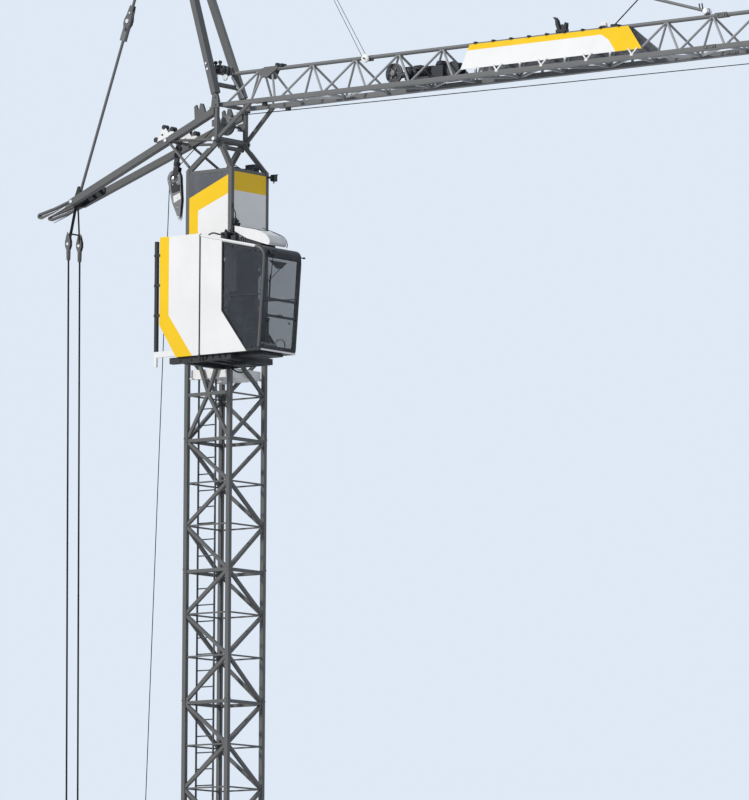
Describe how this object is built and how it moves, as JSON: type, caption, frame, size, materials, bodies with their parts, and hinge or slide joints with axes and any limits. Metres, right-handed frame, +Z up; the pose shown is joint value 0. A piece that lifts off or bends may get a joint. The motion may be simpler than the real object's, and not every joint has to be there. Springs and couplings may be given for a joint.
{
  "type": "fast-erecting bottom-slewing tower crane",
  "caption": "Fast-erecting tower crane: a slewing platform on four outriggers, a square lattice tower with a side cab, and a guyed horizontal lattice jib with trolley and hook.",
  "frame": {"origin": "on the slewing axis at ground level, under the middle of the undercarriage", "axes": "+X along the jib, +Y to the side away from the cab, +Z up"},
  "size_m": [33.4333, 5.02, 28.6006],
  "materials": {
    "frame_grey": "satin grey paint",
    "lattice_grey": "light grey paint",
    "dark_steel": "dark grey paint",
    "galvanised": "dull galvanised",
    "white_paint": "gloss white paint",
    "yellow_paint": "gloss yellow paint",
    "concrete": "cast concrete",
    "wire_rope": "greased wire rope",
    "sheave_grey": "cast",
    "spindle_steel": "greased steel",
    "cab_glass": "tinted",
    "seat_fabric": "black cloth"
  },
  "bodies": {
    "undercarriage": {"chassis": "frame_grey", "outrigger_arms": "frame_grey", "outrigger_jacks": "spindle_steel", "slewing_ring_fixed": "dark_steel"},
    "upperworks": {"slewing_ring_turning": "dark_steel", "platform_frame": "frame_grey", "ballast_slabs": "concrete", "hoist_winch": "frame_grey", "hoist_drum": "sheave_grey", "switch_cabinet": "white_paint", "tower_near_side": "frame_grey", "tower_far_side": "frame_grey", "tower_front_bracing": "frame_grey", "tower_rear_bracing": "frame_grey", "tower_ladder": "galvanised", "landing_platform": "white_paint", "cladding_panels": "yellow_paint", "tower_head": "frame_grey", "head_sheave": "sheave_grey", "jib_root_frame": "frame_grey", "jib_top_chord": "frame_grey", "jib_lower_chords": "frame_grey", "jib_near_lattice": "lattice_grey", "jib_far_lattice": "lattice_grey", "jib_floor_lattice": "lattice_grey", "mast_frame": "frame_grey", "rear_strut": "frame_grey", "jib_guys": "frame_grey", "rear_guy": "frame_grey", "rear_guy_ropes": "wire_rope", "rope_guide_block": "sheave_grey", "guide_sheave": "sheave_grey", "running_ropes": "wire_rope", "trolley_winch": "dark_steel", "jib_side_panels": "white_paint", "trolley": "frame_grey", "hook_block": "yellow_paint", "cab_support": "dark_steel", "cab_deck": "dark_steel", "cab_side_walls": "white_paint", "cab_back_wall": "white_paint", "cab_door": "white_paint", "cab_front_frame": "dark_steel", "cab_roof": "white_paint", "cab_glazing": "cab_glass", "cab_seat": "seat_fabric", "roof_unit_base": "dark_steel", "roof_unit": "white_paint", "balcony_panel": "yellow_paint", "balcony_sill": "white_paint", "balcony_railing": "dark_steel"}
  },
  "joints": [
    {"name": "slew", "type": "hinge", "parent": "undercarriage", "child": "upperworks", "pos_m": [0, 0, 0], "axis": [0, 0, 1], "continuous": true}
  ]
}
